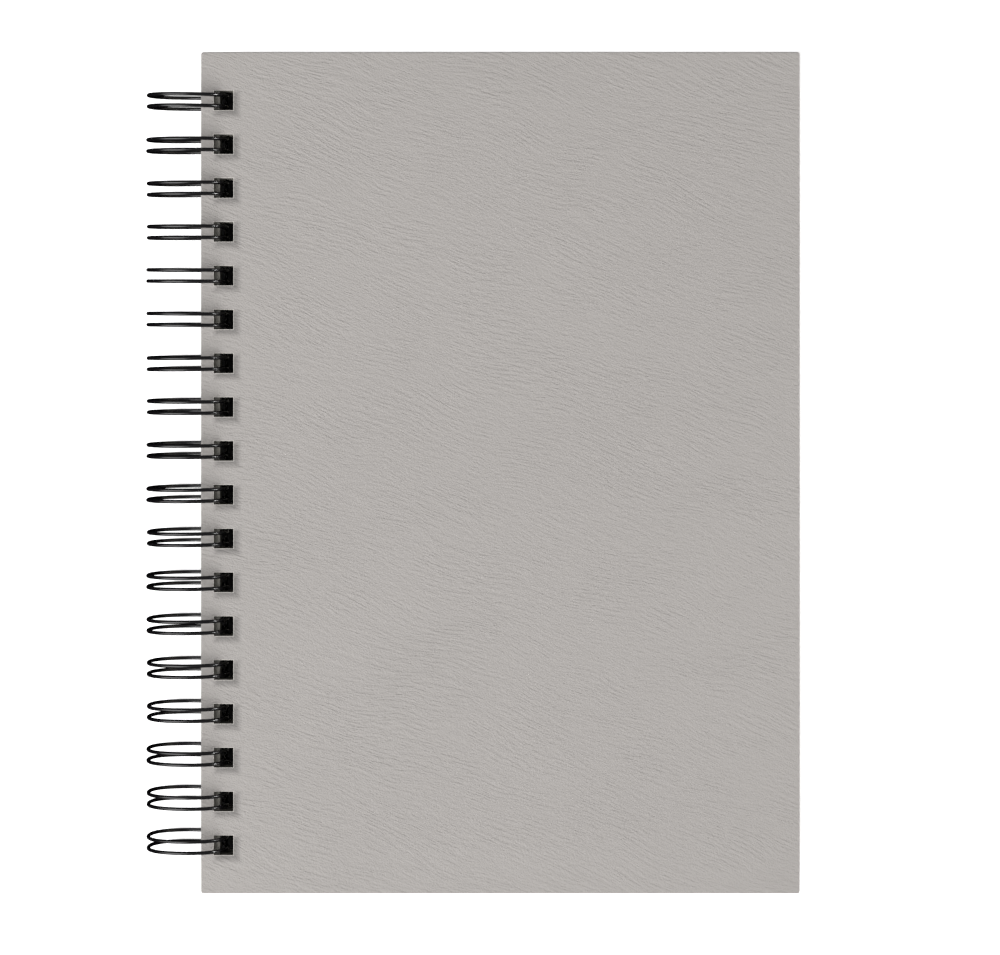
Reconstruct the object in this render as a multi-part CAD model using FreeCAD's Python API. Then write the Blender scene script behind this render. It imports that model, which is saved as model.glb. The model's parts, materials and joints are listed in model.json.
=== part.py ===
"""Twin-loop wire-bound notebook: two wrapped board covers, a block of sheets, and one bent wire.

Millimetres. X runs from the wire to the fore edge, Y from the foot of the book to its head, and Z up
out of the front cover. The origin is under the middle of the closed book, level with the lowest
point of the wire. Cross-sections are worked out about the loop axis, the line along Y that every
loop of the wire is centred on and that both covers swing about.
"""

import FreeCAD
import Part

import math
import os

Vector = FreeCAD.Vector

# Wire
loop_pitch = 12.7  # from one twin loop to the next, two loops to the inch
wire_d = 1.1
twin_spacing = 3.26  # between the two wires of a twin loop, centre to centre

# Covers and sheets
cover_width = 173.6
cover_height = 244.0
board_t = 2.2  # board with its wrapping
edge_bevel = 0.4  # where the wrapping turns over the board's edges
corner_extra = 0.3  # how much rounder than that the four corners are, seen from above
sheet_count = 96
sheet_t = 0.1
overhang = 2.5  # the covers past the sheets, at head, foot and fore edge

# Punching
end_strip = 4.0  # at least this much of a sheet past each end of the wire
hole_inset = 3.7  # from the spine edge to the holes, in covers and sheets alike
axis_to_spine = 4.4  # from the loop axis to the covers' spine edge

# Clearances
side_play = 0.67  # each side of a twin loop in its hole, along Y
strip_play = 0.33  # between the punched strip of a cover and the inside of the loops
sheet_play = 0.3  # between the sheets' holes and the inside of the loops
cover_play = 0.1  # between each cover and the sheets
closure_play = 0.35  # round the wire where it closes, between the last sheet and the back cover
tip_play = 0.25  # between a loop's tip and the bends that it closes up against

# What follows from them
sheet_height = cover_height - 2 * overhang
loop_count = int((sheet_height - 2 * end_strip) / loop_pitch)
block_t = sheet_count * sheet_t
stack_half = block_t / 2 + cover_play + board_t
corner_r = edge_bevel + corner_extra
hole_side = twin_spacing + wire_d + 2 * side_play
cover_hole_near = axis_to_spine + hole_inset
loop_inner_r = math.hypot(cover_hole_near, stack_half) + strip_play
loop_r = loop_inner_r + wire_d / 2
loop_outer_r = loop_inner_r + wire_d
fore_edge = axis_to_spine + cover_width
sheet_hole_near = math.sqrt(loop_inner_r**2 - (block_t / 2) ** 2) - sheet_play
sheet_spine = sheet_hole_near - hole_inset

# The loop axis in the row frame: the closed book is centred on X and stands on Z = 0
axis_x = (loop_outer_r - fore_edge) / 2
axis_z = loop_outer_r

# Where the wire closes: its links lie just inside the back cover, and each tip nests between bends
bend_r = side_play + wire_d / 2
tip_r = twin_spacing / 2
link_r = math.hypot(loop_r, bend_r)
link_z = wire_d / 2 + closure_play - block_t / 2 - cover_play
link_angle = math.asin(link_z / link_r)
link_x = link_r * math.cos(link_angle)
link_length = loop_pitch - twin_spacing - 2 * bend_r
root_angle = link_angle + math.atan2(bend_r, loop_r)
bend_to_tip = bend_r + wire_d + tip_play + tip_r
tip_below_root = math.sqrt(bend_to_tip**2 - (bend_r + tip_r) ** 2)
tip_angle = root_angle + 2 * math.pi - tip_below_root / loop_r

loop_places = [(i - (loop_count - 1) / 2) * loop_pitch for i in range(loop_count)]


def at(x, y, z):
    """A point given about the loop axis, in the row frame."""
    return Vector(axis_x + x, y, axis_z + z)


def block(x, y, z):
    """A box about the loop axis; x, y and z are each a lowest and a highest value."""
    return Part.makeBox(x[1] - x[0], y[1] - y[0], z[1] - z[0], at(x[0], y[0], z[0]))


def outward(angle):
    """The direction straight out from the loop axis, in the XZ plane."""
    return Vector(math.cos(angle), 0, math.sin(angle))


def onward(angle):
    """The direction of travel round the loop, in the XZ plane."""
    return Vector(-math.sin(angle), 0, math.cos(angle))


def holes(near, z):
    """One square punch for each twin loop, its near side at x = near."""
    half = hole_side / 2
    return Part.makeCompound(
        [block((near, near + hole_side), (y - half, y + half), z) for y in loop_places]
    )


def cover(inner_z, outer_z):
    """A wrapped board: the outline with small corners, bevelled all round, and punched."""
    low, high = sorted((inner_z, outer_z))
    half = cover_height / 2
    board = block((axis_to_spine, fore_edge), (-half, half), (low, high))
    upright = [e for e in board.Edges if e.BoundBox.ZLength > board_t / 2]
    board = board.makeFillet(corner_r, upright)
    rims = [e for e in board.Edges if e.BoundBox.ZLength < board_t / 2]
    board = board.makeChamfer(edge_bevel, rims)
    return board.cut(holes(cover_hole_near, (low, high)))


def page_block():
    """The sheets as one block, punched, and dented along the line where the wire closes on them."""
    half_height, half_t = sheet_height / 2, block_t / 2
    sheets = block((sheet_spine, fore_edge - overhang), (-half_height, half_height), (-half_t, half_t))
    reach = wire_d / 2 + closure_play
    end = loop_places[-1] + loop_pitch / 2 + closure_play
    dent = block((link_x - reach, link_x + reach), (-end, end), (-half_t, link_z + reach))
    return sheets.cut(Part.makeCompound([holes(sheet_hole_near, (-half_t, half_t)), dent]))


def finger(y):
    """The path of one twin loop, from half a link to half a link, as turns and pushes.

    A turn is (centre, axis, degrees) and a push is a vector. The wire comes along Y on its link,
    bends into the loop, runs round to the tip, turns back in the tip, runs round again beside
    itself, and bends out onto the next link.
    """
    near, far = y - twin_spacing / 2, y + twin_spacing / 2
    root = loop_r * outward(root_angle)
    tip = loop_r * outward(tip_angle)
    round_loop = math.degrees(tip_angle - root_angle)
    half_link = Vector(0, link_length / 2, 0)
    return [
        half_link,
        (at(root.x, near - bend_r, root.z), outward(root_angle), 90),
        (at(0, near, 0), Vector(0, -1, 0), round_loop),
        (at(tip.x, y, tip.z), outward(tip_angle), -180),
        (at(0, far, 0), Vector(0, 1, 0), round_loop),
        (at(root.x, far + bend_r, root.z), outward(root_angle), 90),
        half_link,
    ]


def wire():
    """The binding wire: a section carried along every finger in turn, its skins sewn to one solid.

    The section is square, as wide as the round wire is thick, which keeps the faces few.
    """
    half = wire_d / 2
    out, on = half * outward(root_angle), half * onward(root_angle)
    start = at(link_x, loop_places[0] - loop_pitch / 2, link_z)
    ring = [start + out + on, start - out + on, start - out - on, start + out - on]
    section = Part.makePolygon(ring + ring[:1])
    caps = [Part.Face(section)]
    skins = []
    for y in loop_places:
        for step in finger(y):
            if isinstance(step, Vector):
                skins += section.extrude(step).Faces
                section.translate(step)
            else:
                skins += section.revolve(*step).Faces
                section.rotate(*step)
    caps.append(Part.Face(section))
    shell = Part.makeCompound(skins + caps)
    shell.sewShape()
    return Part.makeSolid(shell.Shells[0])


def main():
    os.makedirs("parts", exist_ok=True)
    inner = block_t / 2 + cover_play
    nodes = {
        "front_cover": cover(inner, stack_half),
        "back_cover": cover(-inner, -stack_half),
        "page_block": page_block(),
        "binding_wire": wire(),
    }
    for name, shape in nodes.items():
        shape.exportStep(f"parts/{name}.step")
        size = shape.BoundBox
        print(f"{name}: {len(shape.Solids)} solid, valid {shape.isValid()}, {shape.Volume:.0f} mm3,")
        print(f"    {size.XLength:.2f} x {size.YLength:.2f} x {size.ZLength:.2f} mm")
    print(f"loop axis at x {axis_x:.4f}, z {axis_z:.4f}, inside radius {loop_inner_r:.3f}")


main()
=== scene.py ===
"""Dresses the twin-loop notebook for its photograph: covers, sheets, wire and a plain stage.

Sizes are in millimetres until a mesh is finished. The frame gives the places of the covers, the
sheets and the loop axis; the sizes that it can't give are the properties below.
"""

import json
import math

import bmesh
import bpy
from mathutils import Matrix, Vector


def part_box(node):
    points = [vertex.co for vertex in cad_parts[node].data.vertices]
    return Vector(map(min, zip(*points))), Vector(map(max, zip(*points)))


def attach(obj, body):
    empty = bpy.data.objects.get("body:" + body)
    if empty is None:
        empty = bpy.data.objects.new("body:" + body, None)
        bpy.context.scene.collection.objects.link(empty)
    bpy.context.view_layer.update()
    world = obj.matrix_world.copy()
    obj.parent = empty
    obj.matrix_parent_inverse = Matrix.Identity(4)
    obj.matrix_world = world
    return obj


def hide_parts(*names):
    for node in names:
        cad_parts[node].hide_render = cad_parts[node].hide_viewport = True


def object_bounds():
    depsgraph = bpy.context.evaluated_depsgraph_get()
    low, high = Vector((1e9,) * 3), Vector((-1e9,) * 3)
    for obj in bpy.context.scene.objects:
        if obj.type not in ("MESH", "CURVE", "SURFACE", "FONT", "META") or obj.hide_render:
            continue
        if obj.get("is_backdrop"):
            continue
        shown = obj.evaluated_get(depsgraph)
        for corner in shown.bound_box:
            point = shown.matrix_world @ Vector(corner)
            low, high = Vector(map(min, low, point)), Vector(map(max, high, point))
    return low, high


bl_info = {
    "name": "Twin-loop notebook",
    "version": (1, 0, 0),
    "blender": (4, 5, 0),
    "location": "3D View > Sidebar > Notebook",
    "description": "Dresses a wire-bound notebook and sets its stage",
    "category": "Object",
}

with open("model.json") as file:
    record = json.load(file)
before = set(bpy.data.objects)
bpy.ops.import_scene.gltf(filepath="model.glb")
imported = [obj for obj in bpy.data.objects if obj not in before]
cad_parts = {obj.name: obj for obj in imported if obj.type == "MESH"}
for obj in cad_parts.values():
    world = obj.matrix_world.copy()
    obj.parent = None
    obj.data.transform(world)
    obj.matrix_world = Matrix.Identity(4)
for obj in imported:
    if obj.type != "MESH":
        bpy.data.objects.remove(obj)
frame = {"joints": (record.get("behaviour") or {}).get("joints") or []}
cad_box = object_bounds()

MM = 0.001
NEAR = 1e-3  # closer than this, in millimetres, two places are one
SQUARE = 1.5  # radians, and only the square edges of a plate turn by more


def in_mm(corners):
    return [Vector(corner) / MM for corner in corners]


# Places that the frame gives, in millimetres
front_low, front_high = in_mm(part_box("front_cover"))
back_low, back_high = in_mm(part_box("back_cover"))
block_low, block_high = in_mm(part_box("page_block"))
wire_low, wire_high = in_mm(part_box("binding_wire"))
loop_axis = Vector(frame["joints"][0]["pos_m"]) / MM


def linear(hex_colour):
    """A colour written as sRGB hex, turned to the linear values that Blender works in."""
    parts = [int(hex_colour[i : i + 2], 16) / 255 for i in (0, 2, 4)]
    return tuple(c / 12.92 if c <= 0.04045 else ((c + 0.055) / 1.055) ** 2.4 for c in parts)


def colour_property(name, description, hex_colour):
    default = linear(hex_colour)
    return bpy.props.FloatVectorProperty(
        name=name, description=description, subtype="COLOR", size=3, min=0, max=1, default=default
    )


def length_property(name, description, millimetres):
    return bpy.props.FloatProperty(
        name=name,
        description=description,
        subtype="DISTANCE",
        unit="LENGTH",
        precision=5,
        default=millimetres * MM,
    )


class PunchingSizes(bpy.types.PropertyGroup):
    """What covers, sheets and wire have in common."""

    pitch: length_property("Loop pitch", "From one twin loop to the next", 12.7)
    count: bpy.props.IntProperty(name="Loops", description="How many twin loops", default=18, min=1)
    hole: length_property("Hole", "Side of a square hole", 5.7)
    inset: length_property("Hole inset", "From the spine edge to the holes", 3.7)


class CoverLook(bpy.types.PropertyGroup):
    """The wrapped boards."""

    wrap_colour: colour_property("Leatherette", "Warm grey embossed wrapping", "9D9996")
    backing_colour: colour_property(
        "Backing", "Woven backing of the wrapping, cut through at the holes", "D0CCC6"
    )
    # Partly the board's own grey, partly painted shade: darker than grey board, for the walls of
    # the holes
    board_grey_and_shade: colour_property("Board", "Cut edge of the board in the holes", "5A5754")
    lining_colour: colour_property("Lining", "Paper pasted inside the cover", "CECAC1")
    edge_radius: length_property("Edge radius", "Where the wrapping turns over the board", 0.45)
    corner_radius: length_property("Corner radius", "The four corners seen from above", 0.7)
    lining_inset: length_property("Lining inset", "Wrapping left bare round the lining", 3.0)
    lining_thickness: length_property("Lining thickness", "Paper and its glue", 0.08)


class SheetLook(bpy.types.PropertyGroup):
    """The block of sheets."""

    colour: colour_property("Paper", "Uncoated, slightly warm", "D8D4CA")
    # Painted shade: the sheets' walls inside the holes get a dark colour, so that the holes look
    # deep and dark
    hole_wall_shade_colour: colour_property(
        "Punched edges", "Pressed and in shade inside the holes", "5A5650"
    )
    count: bpy.props.IntProperty(name="Sheets", description="How many sheets", default=96, min=2)
    jitter: length_property("Jitter", "How far a sheet may lie out of line", 0.04)
    lift: length_property("Lift", "How far the last sheet rides up over the wire's links", 1.75)


class WireLook(bpy.types.PropertyGroup):
    """The binding wire."""

    colour: colour_property("Coating", "Black nylon over steel", "0C0B0D")
    diameter: length_property("Wire diameter", "Coating included", 1.1)
    twin_spacing: length_property("Twin spacing", "Between the two wires of a loop", 3.26)
    lean: length_property("Lean", "How far a loop's front lies nearer the foot than its back", 0.6)
    sway: length_property("Sway", "How far a loop's far side may stand aside from its place", 0.22)
    squareness: length_property(
        "Squareness", "How far a loop stands out past a circle at 45 degrees", 0.6
    )


class StageLook(bpy.types.PropertyGroup):
    """Floor, lights and camera."""

    floor_colour: colour_property("Floor", "Plain and pale", "F2F2F2")
    sky: bpy.props.FloatProperty(
        name="Sky", description="Strength of the light from straight above", default=0.32, min=0
    )
    key: bpy.props.FloatProperty(
        name="Key light", description="Power in watts", default=95.0, min=0
    )
    glow: bpy.props.FloatProperty(
        name="Glow", description="Light through the floor", default=0.72, min=0
    )
    fill: bpy.props.FloatProperty(
        name="Low light", description="Power in watts", default=12.0, min=0
    )
    camera_height: length_property("Camera height", "Above the front cover", 1012.0)


def node(tree, kind, links=None, **settings):
    """Adds a node. links gives an input, by name or number, a value or another node's output."""
    new = tree.nodes.new(kind)
    for name, value in settings.items():
        setattr(new, name, value)
    for key, value in (links or {}).items():
        if isinstance(value, bpy.types.NodeSocket):
            tree.links.new(value, new.inputs[key])
        else:
            new.inputs[key].default_value = value
    return new


def maths(tree, operation, *values):
    """Adds a node that works on numbers. Returns its output."""
    links = dict(enumerate(values))
    return node(tree, "ShaderNodeMath", links, operation=operation).outputs[0]


def vector_maths(tree, operation, *values):
    """Adds a node that works on vectors. Returns its output."""
    links = dict(enumerate(values))
    return node(tree, "ShaderNodeVectorMath", links, operation=operation).outputs[0]


def scaled(tree, vector, factor):
    """Adds a node that scales a vector. Returns its output."""
    links = {0: vector, "Scale": factor}
    return node(tree, "ShaderNodeVectorMath", links, operation="SCALE").outputs[0]


def new_material(name):
    """A material with an empty tree. Returns it with its tree."""
    material = bpy.data.materials.new(name)
    material.use_nodes = True
    material.node_tree.nodes.clear()
    return material, material.node_tree


def creases(tree, place, slope, patch):
    """The height of fine parallel creases, 1 mm apart, 7 mm long and deepest at a high patch."""
    shorten = 0.12  # along a crease, which leaves it 0.8 / 0.12 mm long
    turned = node(tree, "ShaderNodeMapping", {"Vector": place, "Rotation": (0, 0, slope)})
    stretched = vector_maths(tree, "MULTIPLY", turned.outputs[0], (shorten, 1.0, 1.0))
    ripple = node(
        tree,
        "ShaderNodeTexNoise",
        {"Vector": stretched, "Scale": 1 / (0.8 * MM), "Detail": 2.0, "Roughness": 0.55},
    )
    # Folds steepen where the ripple crosses its middle, so each has a lit side and a shaded one
    fold = node(
        tree,
        "ShaderNodeMapRange",
        {"Value": ripple.outputs[0], "From Min": 0.36, "From Max": 0.62},
        interpolation_type="SMOOTHSTEP",
    )
    strength = node(
        tree,
        "ShaderNodeMapRange",
        {"Value": patch, "From Min": 0.45, "From Max": 0.62, "To Min": 0.3, "To Max": 1.3},
        interpolation_type="SMOOTHSTEP",
    )
    return maths(tree, "MULTIPLY", fold.outputs[0], strength.outputs[0])


def painted_shade_round_holes(tree, place, punching, spine, shift, full, none):
    """How much shade is painted round the holes, 0 to 1. All sizes are in metres.

    The painted shade lies aside from the holes by shift, to the foot and the fore edge. It is
    darkest up to a distance full from a hole and ends at the distance none.
    """
    parts = node(tree, "ShaderNodeSeparateXYZ", {0: place}).outputs
    half_hole, half_pitch = punching.hole / 2, punching.pitch / 2
    middle_x = spine + punching.inset + half_hole + shift
    aside = maths(tree, "SUBTRACT", parts[0], middle_x)
    aside = maths(tree, "ABSOLUTE", aside)
    # Loop places are odd halves of the pitch for an even number of loops
    first = 0.5 if punching.count % 2 == 0 else 0.0
    along = maths(tree, "SUBTRACT", parts[1], first * punching.pitch - shift)
    along = maths(tree, "WRAP", along, half_pitch, -half_pitch)
    along = maths(tree, "ABSOLUTE", along)
    furthest = maths(tree, "MAXIMUM", aside, along)
    past_row = punching.count * half_pitch
    end = maths(tree, "ABSOLUTE", parts[1])
    row = maths(tree, "LESS_THAN", end, past_row)
    near = node(
        tree,
        "ShaderNodeMapRange",
        {
            "Value": furthest,
            "From Min": half_hole + full,
            "From Max": half_hole + none,
            "To Min": 1.0,
            "To Max": 0.0,
        },
        interpolation_type="SMOOTHSTEP",
    ).outputs[0]
    return maths(tree, "MULTIPLY", near, row)


def leatherette(look, punching):
    """Polyurethane leatherette, embossed like calf skin: fine creases in patches, grain between."""
    material, tree = new_material("warm_grey_embossed_leatherette")
    place = node(tree, "ShaderNodeTexCoord").outputs["Object"]
    # Slow swirls bend the creases
    swirl = node(
        tree, "ShaderNodeTexNoise", {"Vector": place, "Scale": 1 / (30 * MM), "Detail": 1.5}
    )
    centred = vector_maths(tree, "SUBTRACT", swirl.outputs["Color"], (0.5, 0.5, 0.5))
    push = scaled(tree, centred, 7 * MM)
    bent = vector_maths(tree, "ADD", place, push)
    # The patches follow the creases' general slope, about 40 mm long
    sloping = node(
        tree,
        "ShaderNodeMapping",
        {"Vector": place, "Rotation": (0, 0, math.radians(20)), "Scale": (0.6, 1, 1)},
    )
    patch = node(
        tree,
        "ShaderNodeTexNoise",
        {"Vector": sloping.outputs[0], "Scale": 1 / (22 * MM), "Detail": 2.0},
    )
    other = maths(tree, "SUBTRACT", 1.0, patch.outputs[0])
    level = creases(tree, bent, math.radians(15), patch.outputs[0])
    steep = creases(tree, bent, math.radians(24), other)
    folds = maths(tree, "ADD", level, steep)
    # The grain of the embossing roller, cells of 0.5 mm
    cells = node(
        tree, "ShaderNodeTexVoronoi", {"Vector": bent, "Scale": 1 / (0.48 * MM)}, feature="F1"
    )
    grain = maths(tree, "MULTIPLY", cells.outputs["Distance"], -1.6)
    height = maths(tree, "ADD", folds, grain)
    bump = node(tree, "ShaderNodeBump", {"Height": height, "Distance": 0.068 * MM})
    # The tone drifts a little from patch to patch
    drift = node(
        tree, "ShaderNodeTexNoise", {"Vector": place, "Scale": 1 / (60 * MM), "Detail": 3.0}
    )
    darker = tuple(0.97 * c for c in look.wrap_colour) + (1,)
    lighter = tuple(1.03 * c for c in look.wrap_colour) + (1,)
    tone = node(
        tree, "ShaderNodeMix", {"Factor": drift.outputs[0], 6: darker, 7: lighter}, data_type="RGBA"
    )
    # Painted shadow: the leatherette darkens in a soft patch beside each hole, to the foot and the
    # fore edge
    hole_shade = painted_shade_round_holes(
        tree, place, punching, front_low.x * MM, shift=1.0 * MM, full=-0.8 * MM, none=1.8 * MM
    )
    shade_factor = node(tree, "ShaderNodeMapRange", {"Value": hole_shade, "To Min": 1.0, "To Max": 0.55})
    tone = scaled(tree, tone.outputs[2], shade_factor.outputs[0])
    rough = node(tree, "ShaderNodeMapRange", {"Value": folds, "To Min": 0.62, "To Max": 0.52})
    shader = node(
        tree,
        "ShaderNodeBsdfPrincipled",
        {
            "Base Color": tone,
            "Roughness": rough.outputs[0],
            "Normal": bump.outputs[0],
            "IOR": 1.46,
            "Specular IOR Level": 0.35,
        },
    )
    node(tree, "ShaderNodeOutputMaterial", {"Surface": shader.outputs[0]})
    return material


def cut_board(look):
    """Grey bookbinder's board, cut through by the punch: fibrous, with faint layers."""
    material, tree = new_material("punched_grey_board_and_shade")
    place = node(tree, "ShaderNodeTexCoord").outputs["Object"]
    flat = vector_maths(tree, "MULTIPLY", place, (0.3, 0.3, 1.0))
    fibre = node(
        tree, "ShaderNodeTexNoise", {"Vector": flat, "Scale": 1 / (0.2 * MM), "Detail": 3.0}
    )
    # Partly the board's grey, partly painted shade in the holes
    dark = tuple(0.7 * c for c in look.board_grey_and_shade) + (1,)
    light = tuple(1.2 * c for c in look.board_grey_and_shade) + (1,)
    tone = node(
        tree, "ShaderNodeMix", {"Factor": fibre.outputs[0], 6: dark, 7: light}, data_type="RGBA"
    )
    bump = node(tree, "ShaderNodeBump", {"Height": fibre.outputs[0], "Distance": 0.03 * MM})
    shader = node(
        tree,
        "ShaderNodeBsdfPrincipled",
        {
            "Base Color": tone.outputs[2],
            "Roughness": 0.9,
            "Normal": bump.outputs[0],
            "Specular IOR Level": 0.2,
        },
    )
    node(tree, "ShaderNodeOutputMaterial", {"Surface": shader.outputs[0]})
    return material


def paper(name, colour, layered, punching=None):
    """Uncoated paper. Layered, its upright sides show lines like sheets, drawn 0.35 mm apart.

    Where the punching is given, shade is painted on the sheets round their holes.
    """
    material, tree = new_material(name)
    place = node(tree, "ShaderNodeTexCoord").outputs["Object"]
    fibre = node(
        tree, "ShaderNodeTexNoise", {"Vector": place, "Scale": 1 / (0.4 * MM), "Detail": 4.0}
    )
    light = tuple(colour) + (1,)
    dark = tuple(0.93 * c for c in colour) + (1,)
    tone = node(
        tree, "ShaderNodeMix", {"Factor": fibre.outputs[0], 6: light, 7: dark}, data_type="RGBA"
    ).outputs[2]
    height = fibre.outputs[0]
    if punching:
        # Painted shade on the sheets round their holes, where they lie deep under the cover's holes
        hole_shade = painted_shade_round_holes(
            tree, place, punching, block_low.x * MM, shift=0.0, full=0.9 * MM, none=2.2 * MM
        )
        shade_factor = node(
            tree, "ShaderNodeMapRange", {"Value": hole_shade, "To Min": 1.0, "To Max": 0.36}
        ).outputs[0]
        tone = scaled(tree, tone, shade_factor)
    if layered:
        # Squeezed along Z, noise makes lines that run the length of an edge
        squeezed = vector_maths(tree, "MULTIPLY", place, (0.02, 0.02, 1.0))
        lines = node(
            tree,
            "ShaderNodeTexNoise",
            {"Vector": squeezed, "Scale": 1 / (0.35 * MM), "Detail": 3.0},
        )
        shade = node(
            tree,
            "ShaderNodeMapRange",
            {
                "Value": lines.outputs[0],
                "From Min": 0.35,
                "From Max": 0.6,
                "To Min": 0.0,
                "To Max": 1.0,
            },
        )
        facing = node(tree, "ShaderNodeNewGeometry").outputs["Normal"]
        upright = node(tree, "ShaderNodeSeparateXYZ", {0: facing}).outputs[2]
        level = maths(tree, "ABSOLUTE", upright)
        side = maths(tree, "SUBTRACT", 1.0, level)
        missing = maths(tree, "SUBTRACT", 1.0, shade.outputs[0])
        amount = maths(tree, "MULTIPLY", side, missing)
        between = tuple(0.62 * c for c in colour) + (1,)
        tone = node(
            tree, "ShaderNodeMix", {"Factor": amount, 6: tone, 7: between}, data_type="RGBA"
        ).outputs[2]
        height = lines.outputs[0]
    bump = node(tree, "ShaderNodeBump", {"Height": height, "Distance": 0.03 * MM, "Strength": 0.6})
    shader = node(
        tree,
        "ShaderNodeBsdfPrincipled",
        {
            "Base Color": tone,
            "Roughness": 0.85,
            "Normal": bump.outputs[0],
            "Specular IOR Level": 0.25,
        },
    )
    node(tree, "ShaderNodeOutputMaterial", {"Surface": shader.outputs[0]})
    return material


def coated_wire(look):
    """Steel wire with a black nylon coating: satin, with broad soft highlights."""
    material, tree = new_material("black_nylon_coated_wire")
    place = node(tree, "ShaderNodeTexCoord").outputs["Object"]
    orange_peel = node(
        tree, "ShaderNodeTexNoise", {"Vector": place, "Scale": 1 / (0.8 * MM), "Detail": 2.0}
    )
    bump = node(tree, "ShaderNodeBump", {"Height": orange_peel.outputs[0], "Distance": 0.01 * MM})
    rough = node(
        tree,
        "ShaderNodeMapRange",
        {"Value": orange_peel.outputs[0], "To Min": 0.16, "To Max": 0.24},
    )
    wear = node(tree, "ShaderNodeTexNoise", {"Vector": place, "Scale": 1 / (5 * MM), "Detail": 3.0})
    dark = tuple(0.8 * c for c in look.colour) + (1,)
    light = tuple(1.4 * c for c in look.colour) + (1,)
    tone = node(
        tree, "ShaderNodeMix", {"Factor": wear.outputs[0], 6: dark, 7: light}, data_type="RGBA"
    )
    shader = node(
        tree,
        "ShaderNodeBsdfPrincipled",
        {
            "Base Color": tone.outputs[2],
            "Roughness": rough.outputs[0],
            "Normal": bump.outputs[0],
            "IOR": 1.53,
            "Specular IOR Level": 0.4,
        },
    )
    node(tree, "ShaderNodeOutputMaterial", {"Surface": shader.outputs[0]})
    return material


def loop_places(punching):
    """The middle of each loop along the spine, in millimetres."""
    pitch = punching.pitch / MM
    return [(i - (punching.count - 1) / 2) * pitch for i in range(punching.count)]


def punched_plate(bm, x_lines, y_ends, z, punching, holes_from):
    """A plate between two heights z, from its first to its last x line, with a row of square holes.

    The holes start at x = holes_from, and the x lines leave those to this function.
    """
    half_hole = punching.hole / MM / 2
    xs = sorted(list(x_lines) + [holes_from, holes_from + 2 * half_hole])
    hole_ends = [y + side for y in loop_places(punching) for side in (-half_hole, half_hole)]
    ys = sorted(list(y_ends) + hole_ends)
    points = [[bm.verts.new((x, y, z[0])) for y in ys] for x in xs]
    hole_column = xs.index(holes_from)
    floor = []
    for i in range(len(xs) - 1):
        for j in range(len(ys) - 1):
            if i == hole_column and j % 2:
                continue
            floor.append(
                bm.faces.new(
                    (points[i][j], points[i + 1][j], points[i + 1][j + 1], points[i][j + 1])
                )
            )
    raised = bmesh.ops.extrude_face_region(bm, geom=floor)["geom"]
    raised = [item for item in raised if isinstance(item, bmesh.types.BMVert)]
    bmesh.ops.translate(bm, verts=raised, vec=(0, 0, z[1] - z[0]))
    bmesh.ops.recalc_face_normals(bm, faces=bm.faces)


def finished_object(bm, name, materials):
    """A mesh object in metres, made from a bmesh in millimetres, which it uses up."""
    bmesh.ops.scale(bm, vec=(MM, MM, MM), verts=bm.verts)
    mesh = bpy.data.meshes.new(name)
    bm.to_mesh(mesh)
    bm.free()
    for material in materials:
        mesh.materials.append(material)
    piece = bpy.data.objects.new(name, mesh)
    bpy.context.scene.collection.objects.link(piece)
    return piece


def make_plain(piece):
    """Turns what the modifiers give into the piece's own mesh and takes them off."""
    depsgraph = bpy.context.evaluated_depsgraph_get()
    mesh = bpy.data.meshes.new_from_object(piece.evaluated_get(depsgraph), depsgraph=depsgraph)
    piece.modifiers.clear()
    piece.data = mesh


def smooth_rounds(piece, angle=math.radians(40)):
    """Smooths the rounded edges and keeps the flat faces flat."""
    piece.data.polygons.foreach_set("use_smooth", [True] * len(piece.data.polygons))
    piece.data.set_sharp_from_angle(angle=angle)
    weighted = piece.modifiers.new("flat faces lead", "WEIGHTED_NORMAL")
    weighted.keep_sharp = True
    make_plain(piece)


def wrapped_board(name, low, high, outer_is_up, look, punching, materials):
    """One cover: board and wrapping with round edges, punched after it was wrapped."""
    mouth_bevel = 0.13  # where the cut wrapping shows its backing
    lining = look.lining_thickness / MM
    heights = (low.z + lining, high.z) if outer_is_up else (low.z, high.z - lining)
    holes_from = low.x + punching.inset / MM
    bm = bmesh.new()
    punched_plate(bm, (low.x, high.x), (low.y, high.y), heights, punching, holes_from)

    def at_corner(point):
        past_x = min(point.x - low.x, high.x - point.x)
        past_y = min(point.y - low.y, high.y - point.y)
        return max(past_x, past_y) < NEAR

    upright = [e for e in bm.edges if all(at_corner(v.co) for v in e.verts)]
    upright = [e for e in upright if e.calc_length() < 2 * (high.z - low.z)]
    bmesh.ops.bevel(
        bm, geom=upright, offset=look.corner_radius / MM, segments=4, profile=0.5, affect="EDGES"
    )
    rims = [e for e in bm.edges if len(e.link_faces) == 2 and e.calc_face_angle() > SQUARE]
    rims = [e for e in rims if outer_rim(e, low, high)]
    bmesh.ops.bevel(
        bm, geom=rims, offset=look.edge_radius / MM, segments=4, profile=0.5, affect="EDGES"
    )
    outer_z = heights[1] if outer_is_up else heights[0]
    mouths = [e for e in bm.edges if e.is_valid and mouth_edge(e, low, high, outer_z)]
    cut_edge = bmesh.ops.bevel(
        bm, geom=mouths, offset=mouth_bevel, segments=2, profile=0.5, affect="EDGES"
    )["faces"]
    for face in bm.faces:
        middle = face.calc_center_median()
        inside = in_hole_row(middle, low, punching) and abs(face.normal.z) < 0.95
        face.material_index = 1 if inside else 0
    for face in cut_edge:
        face.material_index = 2
    piece = finished_object(bm, name, materials)
    smooth_rounds(piece)
    return piece


def outer_rim(edge, low, high):
    """True where an edge lies on the plate's outline and not round a hole."""
    rim = 0.5
    middle = (edge.verts[0].co + edge.verts[1].co) / 2
    return min(middle.x - low.x, high.x - middle.x, middle.y - low.y, high.y - middle.y) < rim


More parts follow.
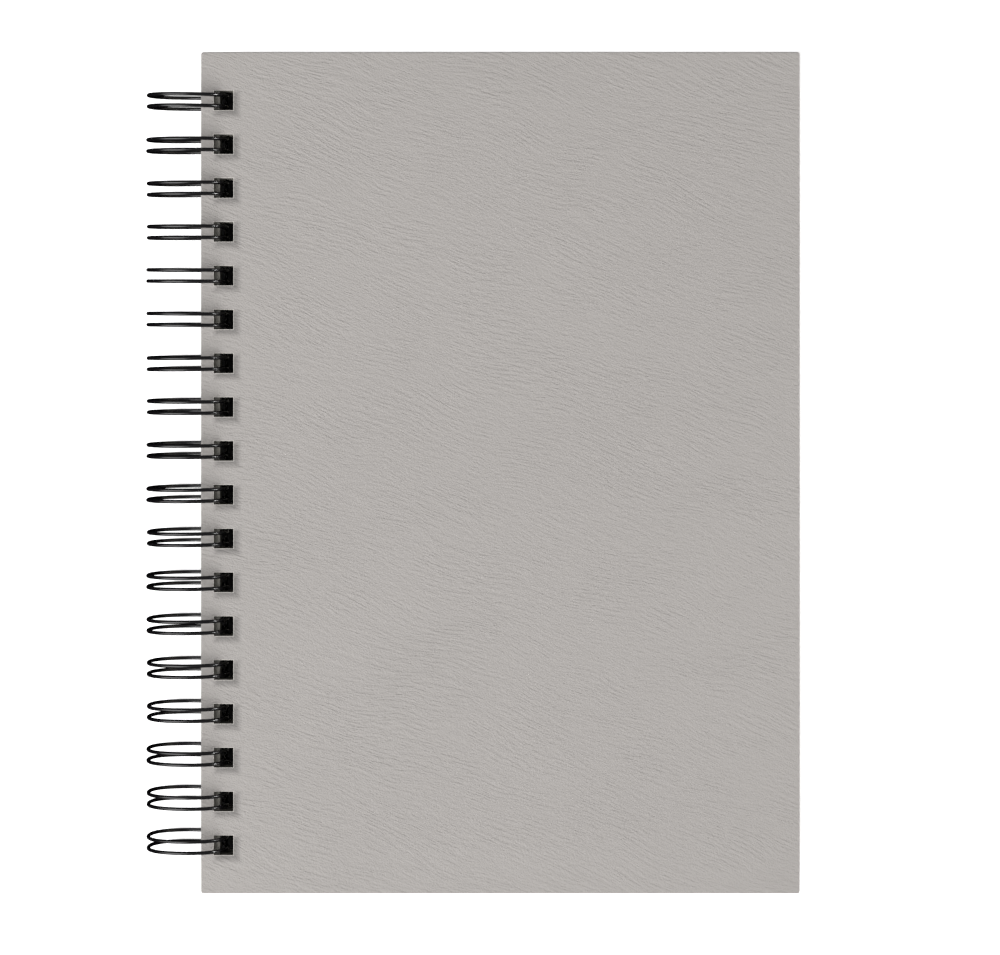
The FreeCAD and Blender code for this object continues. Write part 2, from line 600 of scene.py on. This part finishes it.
def mouth_edge(edge, low, high, outer_z):
    """True for the edges round the holes on the outer face."""
    if outer_rim(edge, low, high) or len(edge.link_faces) != 2:
        return False
    level = all(abs(v.co.z - outer_z) < NEAR for v in edge.verts)
    return level and edge.calc_face_angle() > SQUARE


def in_hole_row(point, low, punching):
    """True for a point within the holes' band along the spine."""
    margin = 0.3
    near = low.x + punching.inset / MM
    within = abs(point.y) < punching.pitch / MM * punching.count / 2
    return within and near - margin < point.x < near + punching.hole / MM + margin


class NOTEBOOK_OT_covers(bpy.types.Operator):
    """Make both wrapped covers with their linings"""

    bl_idname = "notebook.covers"
    bl_label = "Covers"

    def execute(self, context):
        look, punching = context.scene.notebook_cover, context.scene.notebook_punching
        wrap, board = leatherette(look, punching), cut_board(look)
        backing = paper("white_woven_backing", look.backing_colour, layered=False)
        lining_paper = paper("cream_lining_paper", look.lining_colour, layered=False)
        thickness = look.lining_thickness / MM
        bare = look.lining_inset / MM
        for node_name, low, high, outer_is_up in (
            ("front_cover", front_low, front_high, True),
            ("back_cover", back_low, back_high, False),
        ):
            piece = wrapped_board(
                node_name + "_wrapped",
                low,
                high,
                outer_is_up,
                look,
                punching,
                [wrap, board, backing],
            )
            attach(piece, node_name)
            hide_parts(node_name)
            heights = (low.z, low.z + thickness) if outer_is_up else (high.z - thickness, high.z)
            x_ends, y_ends = (low.x + bare / 2, high.x - bare), (low.y + bare, high.y - bare)
            bm = bmesh.new()
            punched_plate(bm, x_ends, y_ends, heights, punching, low.x + punching.inset / MM)
            lining = finished_object(bm, node_name + "_lining", [lining_paper])
            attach(lining, node_name)
        return {"FINISHED"}


def sheet_tree():
    """Geometry nodes that stack one sheet and lift the last ones over the wire's links."""
    tree = bpy.data.node_groups.new("stack of sheets", "GeometryNodeTree")
    face = tree.interface
    face.new_socket("Sheet", in_out="INPUT", socket_type="NodeSocketGeometry")
    for name, kind in (
        ("Sheets", "NodeSocketInt"),
        ("Sheet pitch", "NodeSocketFloat"),
        ("Jitter", "NodeSocketFloat"),
        ("Lift", "NodeSocketFloat"),
        ("Lifted up to", "NodeSocketFloat"),
        ("Flat from", "NodeSocketFloat"),
        ("Bottom", "NodeSocketFloat"),
        ("Top", "NodeSocketFloat"),
        ("Paper", "NodeSocketMaterial"),
        ("Punched edge", "NodeSocketMaterial"),
    ):
        face.new_socket(name, in_out="INPUT", socket_type=kind)
    face.new_socket("Stack", in_out="OUTPUT", socket_type="NodeSocketGeometry")
    given = node(tree, "NodeGroupInput").outputs
    step = node(tree, "ShaderNodeCombineXYZ", {"Z": given["Sheet pitch"]})
    row = node(tree, "GeometryNodeMeshLine", {"Count": given["Sheets"], "Offset": step.outputs[0]})
    stack = node(
        tree, "GeometryNodeInstanceOnPoints", {"Points": row.outputs[0], "Instance": given["Sheet"]}
    )
    back = maths(tree, "MULTIPLY", given["Jitter"], -1.0)
    least = node(tree, "ShaderNodeCombineXYZ", {"X": back, "Y": back})
    most = node(tree, "ShaderNodeCombineXYZ", {"X": given["Jitter"], "Y": given["Jitter"]})
    slip = node(
        tree,
        "FunctionNodeRandomValue",
        {"Min": least.outputs[0], "Max": most.outputs[0], "Seed": 7},
        data_type="FLOAT_VECTOR",
    )
    slipped = node(
        tree,
        "GeometryNodeTranslateInstances",
        {"Instances": stack.outputs[0], "Translation": slip.outputs[0]},
    )
    real = node(tree, "GeometryNodeRealizeInstances", {"Geometry": slipped.outputs[0]})
    place = node(
        tree, "ShaderNodeSeparateXYZ", {0: node(tree, "GeometryNodeInputPosition").outputs[0]}
    ).outputs
    near_wire = node(
        tree,
        "ShaderNodeMapRange",
        {
            "Value": place["X"],
            "From Min": given["Lifted up to"],
            "From Max": given["Flat from"],
            "To Min": 1.0,
            "To Max": 0.0,
        },
        interpolation_type="SMOOTHSTEP",
    )
    depth = node(
        tree,
        "ShaderNodeMapRange",
        {
            "Value": place["Z"],
            "From Min": given["Bottom"],
            "From Max": given["Top"],
            "To Min": 1.0,
            "To Max": 0.0,
        },
    )
    share = maths(tree, "MULTIPLY", near_wire.outputs[0], depth.outputs[0])
    rise = maths(tree, "MULTIPLY", share, given["Lift"])
    offset = node(tree, "ShaderNodeCombineXYZ", {"Z": rise})
    lifted = node(
        tree, "GeometryNodeSetPosition", {"Geometry": real.outputs[0], "Offset": offset.outputs[0]}
    )
    plain = node(
        tree, "GeometryNodeSetMaterial", {"Geometry": lifted.outputs[0], "Material": given["Paper"]}
    )
    punched = node(
        tree, "GeometryNodeInputNamedAttribute", {"Name": "punched"}, data_type="BOOLEAN"
    ).outputs[0]
    dressed = node(
        tree,
        "GeometryNodeSetMaterial",
        {"Geometry": plain.outputs[0], "Selection": punched, "Material": given["Punched edge"]},
    )
    node(tree, "NodeGroupOutput", {0: dressed.outputs[0]})
    return tree


def add_tree(piece, tree, values):
    """Puts a node tree on a piece and sets its inputs, by their names."""
    modifier = piece.modifiers.new(tree.name, "NODES")
    modifier.node_group = tree
    for socket in tree.interface.items_tree:
        if socket.in_out == "INPUT" and socket.name in values:
            modifier[socket.identifier] = values[socket.name]
    piece.data.update()


class NOTEBOOK_OT_sheets(bpy.types.Operator):
    """Make the block of sheets"""

    bl_idname = "notebook.sheets"
    bl_label = "Sheets"

    def execute(self, context):
        look, punching = context.scene.notebook_sheets, context.scene.notebook_punching
        pitch = (block_high.z - block_low.z) / look.count
        slack = look.jitter / MM
        x_ends = (block_low.x + slack, block_high.x - slack)
        y_ends = (block_low.y + slack, block_high.y - slack)
        holes_from = block_low.x + punching.inset / MM
        beyond = holes_from + punching.hole / MM
        bm = bmesh.new()
        bends = (beyond + 7, beyond + 14)  # where the last sheets come down from the wire's links
        paper_share = 0.92  # of the sheets' spacing; the rest is air
        over_links = loop_axis.x + 12.5  # just past the links
        sheet = (block_low.z, block_low.z + paper_share * pitch)
        punched_plate(bm, (*x_ends, *bends), y_ends, sheet, punching, holes_from)
        punched = bm.faces.layers.bool.new("punched")
        for face in bm.faces:
            middle = face.calc_center_median()
            in_row = holes_from - 0.1 < middle.x < beyond + 0.1 and abs(middle.y) < y_ends[1] - 1
            face[punched] = in_row and abs(face.normal.z) < 0.5
        piece = finished_object(bm, "sheet_stack", [])
        values = {
            "Sheets": look.count,
            "Sheet pitch": pitch * MM,
            "Jitter": look.jitter,
            "Lift": look.lift,
            "Lifted up to": over_links * MM,
            "Flat from": bends[-1] * MM,
            "Bottom": block_low.z * MM,
            "Top": block_high.z * MM,
            "Paper": paper("uncoated_sheets", look.colour, layered=True, punching=punching),
            # The punched edges' dark colour is painted shade
            "Punched edge": paper("punched_sheet_edges_painted_shade", look.hole_wall_shade_colour, layered=True),
        }
        add_tree(piece, sheet_tree(), values)
        make_plain(piece)
        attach(piece, "block")
        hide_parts("page_block")
        return {"FINISHED"}


def arc(centre, first, second, radius, start, end, steps):
    """Points on an arc from one angle to another. first and second span its plane."""
    angles = [start + (end - start) * i / steps for i in range(steps + 1)]
    return [centre + radius * (math.cos(a) * first + math.sin(a) * second) for a in angles]


def finger_path(look, punching):
    """The wire's line through one twin loop, from half a link to half a link, in millimetres."""
    wire = look.diameter / MM
    half_twin = look.twin_spacing / MM / 2
    pitch = punching.pitch / MM
    outer_r = (wire_high.z - wire_low.z) / 2
    # Room round the wire: in its hole, at the back cover where it closes, and at a loop's tip
    side_play, closure_play, tip_play = 0.67, 0.35, 0.25
    # A little smaller than the frame's loops, because the sway lifts some of them
    loop_r = outer_r - wire / 2 - 0.2 * look.sway / MM
    bend_r = side_play + wire / 2
    along = Vector((0, 1, 0))
    link_r = math.hypot(loop_r, bend_r)
    link_z = back_high.z - loop_axis.z + closure_play + wire / 2
    link_angle = math.asin(link_z / link_r)
    root = link_angle + math.atan2(bend_r, loop_r)
    span = bend_r + wire + tip_play + half_twin
    tip = root + 2 * math.pi - math.sqrt(span**2 - (bend_r + half_twin) ** 2) / loop_r

    def outward(angle):
        return Vector((math.cos(angle), 0, math.sin(angle)))

    def onward(angle):
        return Vector((-math.sin(angle), 0, math.cos(angle)))

    root_point = loop_r * outward(root)
    side = (half_twin + bend_r) * along
    start = Vector((0, -pitch / 2, 0)) + root_point - bend_r * onward(root)
    in_bend, in_loop, in_tip = 8, 72, 14  # straight pieces that each arc is drawn with
    points = [start]
    points += arc(root_point - side, -onward(root), along, bend_r, 0, math.pi / 2, in_bend)
    points += [
        p - half_twin * along for p in arc(Vector(), *axes_xz(), loop_r, root, tip, in_loop)
    ][1:]
    tip_point = loop_r * outward(tip)
    points += arc(tip_point, -along, onward(tip), half_twin, 0, math.pi, in_tip)[1:]
    points += [
        p + half_twin * along for p in arc(Vector(), *axes_xz(), loop_r, tip, root, in_loop)
    ][1:]
    points += arc(root_point + side, -along, -onward(root), bend_r, 0, math.pi / 2, in_bend)[1:]
    points.append(start + pitch * along)
    lean = look.lean / MM / (2 * outer_r)
    upright_at = 5.5  # above the loop axis, where the wire passes the front cover
    return [Vector((p.x, p.y - lean * (p.z - upright_at), p.z)) for p in points]


def axes_xz():
    return Vector((1, 0, 0)), Vector((0, 0, 1))


def wire_tree():
    """Geometry nodes that repeat one finger, join the fingers and sweep the wire along them."""
    tree = bpy.data.node_groups.new("twin-loop wire", "GeometryNodeTree")
    face = tree.interface
    face.new_socket("Finger", in_out="INPUT", socket_type="NodeSocketGeometry")
    for name, kind in (
        ("Loops", "NodeSocketInt"),
        ("Loop pitch", "NodeSocketFloat"),
        ("Wire diameter", "NodeSocketFloat"),
        ("Sway", "NodeSocketFloat"),
        ("Squareness", "NodeSocketFloat"),
        ("Axis", "NodeSocketVector"),
        ("Coating", "NodeSocketMaterial"),
    ):
        face.new_socket(name, in_out="INPUT", socket_type=kind)
    face.new_socket("Wire", in_out="OUTPUT", socket_type="NodeSocketGeometry")
    given = node(tree, "NodeGroupInput").outputs
    last = maths(tree, "SUBTRACT", given["Loops"], 1.0)
    half = maths(tree, "MULTIPLY", last, -0.5)
    first_y = maths(tree, "MULTIPLY", half, given["Loop pitch"])
    step = node(tree, "ShaderNodeCombineXYZ", {"Y": given["Loop pitch"]}).outputs[0]
    first = node(tree, "ShaderNodeCombineXYZ", {"Y": first_y}).outputs[0]
    start = vector_maths(tree, "ADD", given["Axis"], first)
    row = node(
        tree,
        "GeometryNodeMeshLine",
        {"Count": given["Loops"], "Start Location": start, "Offset": step},
    )
    fingers = node(
        tree,
        "GeometryNodeInstanceOnPoints",
        {"Points": row.outputs[0], "Instance": given["Finger"]},
    )
    number = node(tree, "GeometryNodeInputIndex").outputs[0]
    # A loop's far side stands a little further in, and to one side or the other
    chance = node(
        tree,
        "FunctionNodeRandomValue",
        {"Min": (0.0, -1.0, -0.5), "Max": (1.0, 1.0, 0.5), "ID": number, "Seed": 11},
        data_type="FLOAT_VECTOR",
    ).outputs[0]
    marked = node(
        tree,
        "GeometryNodeStoreNamedAttribute",
        {"Geometry": fingers.outputs[0], "Name": "sway", "Value": chance},
        data_type="FLOAT_VECTOR",
        domain="INSTANCE",
    )
    real = node(tree, "GeometryNodeRealizeInstances", {"Geometry": marked.outputs[0]})
    joined = node(
        tree, "GeometryNodeMergeByDistance", {"Geometry": real.outputs[0], "Distance": 0.01 * MM}
    )
    place = node(tree, "GeometryNodeInputPosition").outputs[0]
    from_axis = vector_maths(tree, "SUBTRACT", place, given["Axis"])
    flat = vector_maths(tree, "MULTIPLY", from_axis, (1, 0, 1))
    out = vector_maths(tree, "NORMALIZE", flat)
    out_x = node(tree, "ShaderNodeSeparateXYZ", {0: out}).outputs[0]
    away = node(
        tree,
        "ShaderNodeMapRange",
        {"Value": out_x, "From Min": 0.6, "From Max": -1.0, "To Min": 0.0, "To Max": 1.0},
    ).outputs[0]
    aside = node(
        tree, "GeometryNodeInputNamedAttribute", {"Name": "sway"}, data_type="FLOAT_VECTOR"
    ).outputs[0]
    amount = maths(tree, "MULTIPLY", away, given["Sway"])
    shift = scaled(tree, aside, amount)
    # The tool that closes the loops leaves them a little square, but not where they close
    parts = node(tree, "ShaderNodeSeparateXYZ", {0: out}).outputs
    slant = maths(tree, "MULTIPLY", parts[0], parts[2])
    corner = maths(tree, "MULTIPLY", slant, slant)
    corner = maths(tree, "MULTIPLY", corner, given["Squareness"])
    closing_angle = math.radians(-20)
    closure = (math.cos(closing_angle), 0, math.sin(closing_angle))
    nearness = node(
        tree, "ShaderNodeVectorMath", {0: out, 1: closure}, operation="DOT_PRODUCT"
    ).outputs["Value"]
    free = node(
        tree,
        "ShaderNodeMapRange",
        {"Value": nearness, "From Min": 0.5, "From Max": 0.85, "To Min": 4.0, "To Max": 0.0},
    ).outputs[0]
    corner = maths(tree, "MULTIPLY", corner, free)
    square = scaled(tree, out, corner)
    shift = vector_maths(tree, "ADD", shift, square)
    uneven = node(tree, "GeometryNodeSetPosition", {"Geometry": joined.outputs[0], "Offset": shift})
    line = node(tree, "GeometryNodeMeshToCurve", {"Mesh": uneven.outputs[0]})
    radius = maths(tree, "MULTIPLY", given["Wire diameter"], 0.5)
    section = node(tree, "GeometryNodeCurvePrimitiveCircle", {"Resolution": 14, "Radius": radius})
    wire = node(
        tree,
        "GeometryNodeCurveToMesh",
        {"Curve": line.outputs[0], "Profile Curve": section.outputs[0], "Fill Caps": True},
    )
    smooth = node(tree, "GeometryNodeSetShadeSmooth", {"Geometry": wire.outputs[0]})
    dressed = node(
        tree,
        "GeometryNodeSetMaterial",
        {"Geometry": smooth.outputs[0], "Material": given["Coating"]},
    )
    node(tree, "NodeGroupOutput", {0: dressed.outputs[0]})
    return tree


class NOTEBOOK_OT_wire(bpy.types.Operator):
    """Bend the binding wire"""

    bl_idname = "notebook.wire"
    bl_label = "Binding wire"

    def execute(self, context):
        look, punching = context.scene.notebook_wire, context.scene.notebook_punching
        bm = bmesh.new()
        verts = [bm.verts.new(p) for p in finger_path(look, punching)]
        for one, other in zip(verts, verts[1:]):
            bm.edges.new((one, other))
        piece = finished_object(bm, "twin_loop_wire", [])
        values = {
            "Loops": punching.count,
            "Loop pitch": punching.pitch,
            "Wire diameter": look.diameter,
            "Sway": look.sway,
            "Squareness": look.squareness,
            "Axis": loop_axis * MM,
            "Coating": coated_wire(look),
        }
        add_tree(piece, wire_tree(), values)
        make_plain(piece)
        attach(piece, "block")
        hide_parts("binding_wire")
        return {"FINISHED"}


def seamless_floor(look, punching):
    """Matt white studio sweep that goes white, because it also glows outside the cover's outline.

    A soft painted shadow, a dark band in the floor's colour under the punching, keeps the floor's
    light out of the holes.
    """
    material, tree = new_material("matt_white_sweep")
    place = node(tree, "ShaderNodeTexCoord").outputs["Object"]
    parts = node(tree, "ShaderNodeSeparateXYZ", {0: place}).outputs
    middle = (front_low.x + front_high.x) / 2 * MM
    reach = (front_high - front_low) / 2 * MM
    from_middle = maths(tree, "SUBTRACT", parts[0], middle)
    past_x = maths(tree, "ABSOLUTE", from_middle)
    past_x = maths(tree, "SUBTRACT", past_x, reach.x)
    past_y = maths(tree, "ABSOLUTE", parts[1])
    past_y = maths(tree, "SUBTRACT", past_y, reach.y)
    past = maths(tree, "MAXIMUM", past_x, past_y)
    glow = node(
        tree,
        "ShaderNodeMapRange",
        {"Value": past, "From Min": -1 * MM, "From Max": 2 * MM, "To Max": look.glow},
    ).outputs[0]
    mottle = node(
        tree, "ShaderNodeTexNoise", {"Vector": place, "Scale": 1 / (400 * MM), "Detail": 2.0}
    )
    dark = tuple(0.985 * c for c in look.floor_colour) + (1,)
    light = tuple(look.floor_colour) + (1,)
    tone = node(
        tree, "ShaderNodeMix", {"Factor": mottle.outputs[0], 6: dark, 7: light}, data_type="RGBA"
    )
    # The camera sees the floor through the holes a little nearer the spine
    holes_middle = front_low.x * MM + punching.inset + punching.hole / 2 - 1.5 * MM
    holes_reach = punching.pitch * (punching.count - 0.5) / 2
    aside = maths(tree, "SUBTRACT", parts[0], holes_middle)
    aside = maths(tree, "ABSOLUTE", aside)
    aside = maths(tree, "SUBTRACT", aside, punching.hole / 2)
    along = maths(tree, "ABSOLUTE", parts[1])
    along = maths(tree, "SUBTRACT", along, holes_reach)
    away = maths(tree, "MAXIMUM", aside, along)
    # Painted shadow: the floor's colour falls to 3 percent in a soft band under the holes
    painted_shadow_factor = node(
        tree,
        "ShaderNodeMapRange",
        {"Value": away, "From Min": 0.5 * MM, "From Max": 5 * MM, "To Min": 0.03, "To Max": 1.0},
        interpolation_type="SMOOTHSTEP",
    ).outputs[0]
    tone = scaled(tree, tone.outputs[2], painted_shadow_factor)
    shader = node(
        tree,
        "ShaderNodeBsdfPrincipled",
        {
            "Base Color": tone,
            "Roughness": 0.9,
            "Specular IOR Level": 0.1,
            "Emission Color": (1, 1, 1, 1),
            "Emission Strength": glow,
        },
    )
    node(tree, "ShaderNodeOutputMaterial", {"Surface": shader.outputs[0]})
    return material


def add_light(name, power, width, height, place, target):
    """A soft box that points at the target."""
    light = bpy.data.lights.new(name, "AREA")
    light.shape = "RECTANGLE"
    light.size, light.size_y = width, height
    light.energy = power
    box = bpy.data.objects.new(name, light)
    box.location = place
    box.rotation_euler = (Vector(target) - Vector(place)).to_track_quat("-Z", "Y").to_euler()
    bpy.context.scene.collection.objects.link(box)


class NOTEBOOK_OT_stage(bpy.types.Operator):
    """Lay the floor and set the lights and the camera"""

    bl_idname = "notebook.stage"
    bl_label = "Stage"

    def execute(self, context):
        look = context.scene.notebook_stage
        self.lay_floor(look, context.scene.notebook_punching)
        self.set_lights(look)
        self.set_camera(look)
        return {"FINISHED"}

    def lay_floor(self, look, punching):
        """The closed book lies on its loops and on the back cover's fore edge."""
        half_floor, clearance = 3000, 0.02
        rise, run = back_low.z, back_high.x - loop_axis.x
        tilt = math.atan2(rise, run)
        bm = bmesh.new()
        bmesh.ops.create_grid(bm, x_segments=1, y_segments=1, size=half_floor)
        turn = Matrix.Rotation(-tilt, 3, "Y")
        bmesh.ops.rotate(bm, verts=bm.verts, cent=(0, 0, 0), matrix=turn)
        level = -math.tan(tilt) * loop_axis.x - clearance
        bmesh.ops.translate(bm, verts=bm.verts, vec=(0, 0, level))
        floor = finished_object(bm, "floor", [seamless_floor(look, punching)])
        # The glossy wire would mirror so bright a floor along its sides
        floor.visible_glossy = False
        floor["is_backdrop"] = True

    def set_lights(self, look):
        world = bpy.data.worlds.new("white tent over a dark studio")
        world.use_nodes = True
        tree = world.node_tree
        # Light comes from above only, so that the wire's outlines mirror darkness
        height = node(
            tree,
            "ShaderNodeSeparateXYZ",
            {0: node(tree, "ShaderNodeTexCoord").outputs["Generated"]},
        )
        strength = node(
            tree,
            "ShaderNodeMapRange",
            {"Value": height.outputs[2], "From Max": 0.8, "To Max": look.sky},
        )
        tree.nodes["Background"].inputs["Color"].default_value = (1, 1, 1, 1)
        tree.links.new(strength.outputs[0], tree.nodes["Background"].inputs["Strength"])
        bpy.context.scene.world = world
        # Turned past the book to the far side, which evens out its light along the cover
        add_light(
            "key", look.key, width=2.3, height=2.3, place=(-1.3, -0.65, 1.85), target=(-0.4, 2.2, 0)
        )
        add_light(
            "low light", look.fill, width=0.05, height=0.4, place=(1.3, 0.1, 0.22), target=(0, 0, 0)
        )

    def set_camera(self, look):
        """Straight down. The picture is 1000 by 955 pixels, and the cover is 599 wide in it."""
        picture = Vector((1000, 955))
        cover_pixels = 599.0
        cover_middle = Vector((500.4, 472.8))
        vanishing_row = 377.0
        pixel = (front_high.x - front_low.x) / cover_pixels
        middle = (front_low + front_high) / 2
        drop = picture.y / 2 - vanishing_row
        x = middle.x + (picture.x / 2 - cover_middle.x) * pixel
        y = middle.y - (picture.y / 2 - cover_middle.y) * pixel + drop * pixel
        camera = bpy.data.cameras.new("camera")
        camera.sensor_width = 36
        camera.lens = camera.sensor_width * look.camera_height / MM / (picture.x * pixel)
        camera.shift_y = -drop / picture.x
        camera.clip_end = 20
        stand = bpy.data.objects.new("camera", camera)
        stand.location = Vector((x, y, front_high.z)) * MM + Vector((0, 0, look.camera_height))
        bpy.context.scene.collection.objects.link(stand)
        bpy.context.scene.camera = stand
        bpy.context.scene.view_settings.view_transform = "Standard"


class NOTEBOOK_PT_sidebar(bpy.types.Panel):
    """The sizes that the pieces share, then each piece in the order in which they are made"""

    bl_label = "Twin-loop notebook"
    bl_idname = "NOTEBOOK_PT_sidebar"
    bl_space_type = "VIEW_3D"
    bl_region_type = "UI"
    bl_category = "Notebook"

    def draw(self, context):
        scene = context.scene
        for group, operator in (
            (scene.notebook_punching, None),
            (scene.notebook_cover, NOTEBOOK_OT_covers),
            (scene.notebook_sheets, NOTEBOOK_OT_sheets),
            (scene.notebook_wire, NOTEBOOK_OT_wire),
            (scene.notebook_stage, NOTEBOOK_OT_stage),
        ):
            column = self.layout.column(align=True)
            for name in group.__annotations__:
                column.prop(group, name)
            if operator:
                column.operator(operator.bl_idname)


groups = {
    "notebook_punching": PunchingSizes,
    "notebook_cover": CoverLook,
    "notebook_sheets": SheetLook,
    "notebook_wire": WireLook,
    "notebook_stage": StageLook,
}
operators = (NOTEBOOK_OT_covers, NOTEBOOK_OT_sheets, NOTEBOOK_OT_wire, NOTEBOOK_OT_stage)


def register():
    for group in groups.values():
        bpy.utils.register_class(group)
    for name, group in groups.items():
        setattr(bpy.types.Scene, name, bpy.props.PointerProperty(type=group))
    for operator in operators:
        bpy.utils.register_class(operator)
    bpy.utils.register_class(NOTEBOOK_PT_sidebar)


def unregister():
    bpy.utils.unregister_class(NOTEBOOK_PT_sidebar)
    for operator in reversed(operators):
        bpy.utils.unregister_class(operator)
    for name in groups:
        delattr(bpy.types.Scene, name)
    for group in reversed(list(groups.values())):
        bpy.utils.unregister_class(group)


def main():
    register()
    bpy.ops.notebook.covers()
    bpy.ops.notebook.sheets()
    bpy.ops.notebook.wire()
    bpy.ops.notebook.stage()
    boxes = {"cad": cad_box, "visual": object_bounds()}
    boxes = {name: [list(corner) for corner in box] for name, box in boxes.items()}


if __name__ == "__main__":
    main()
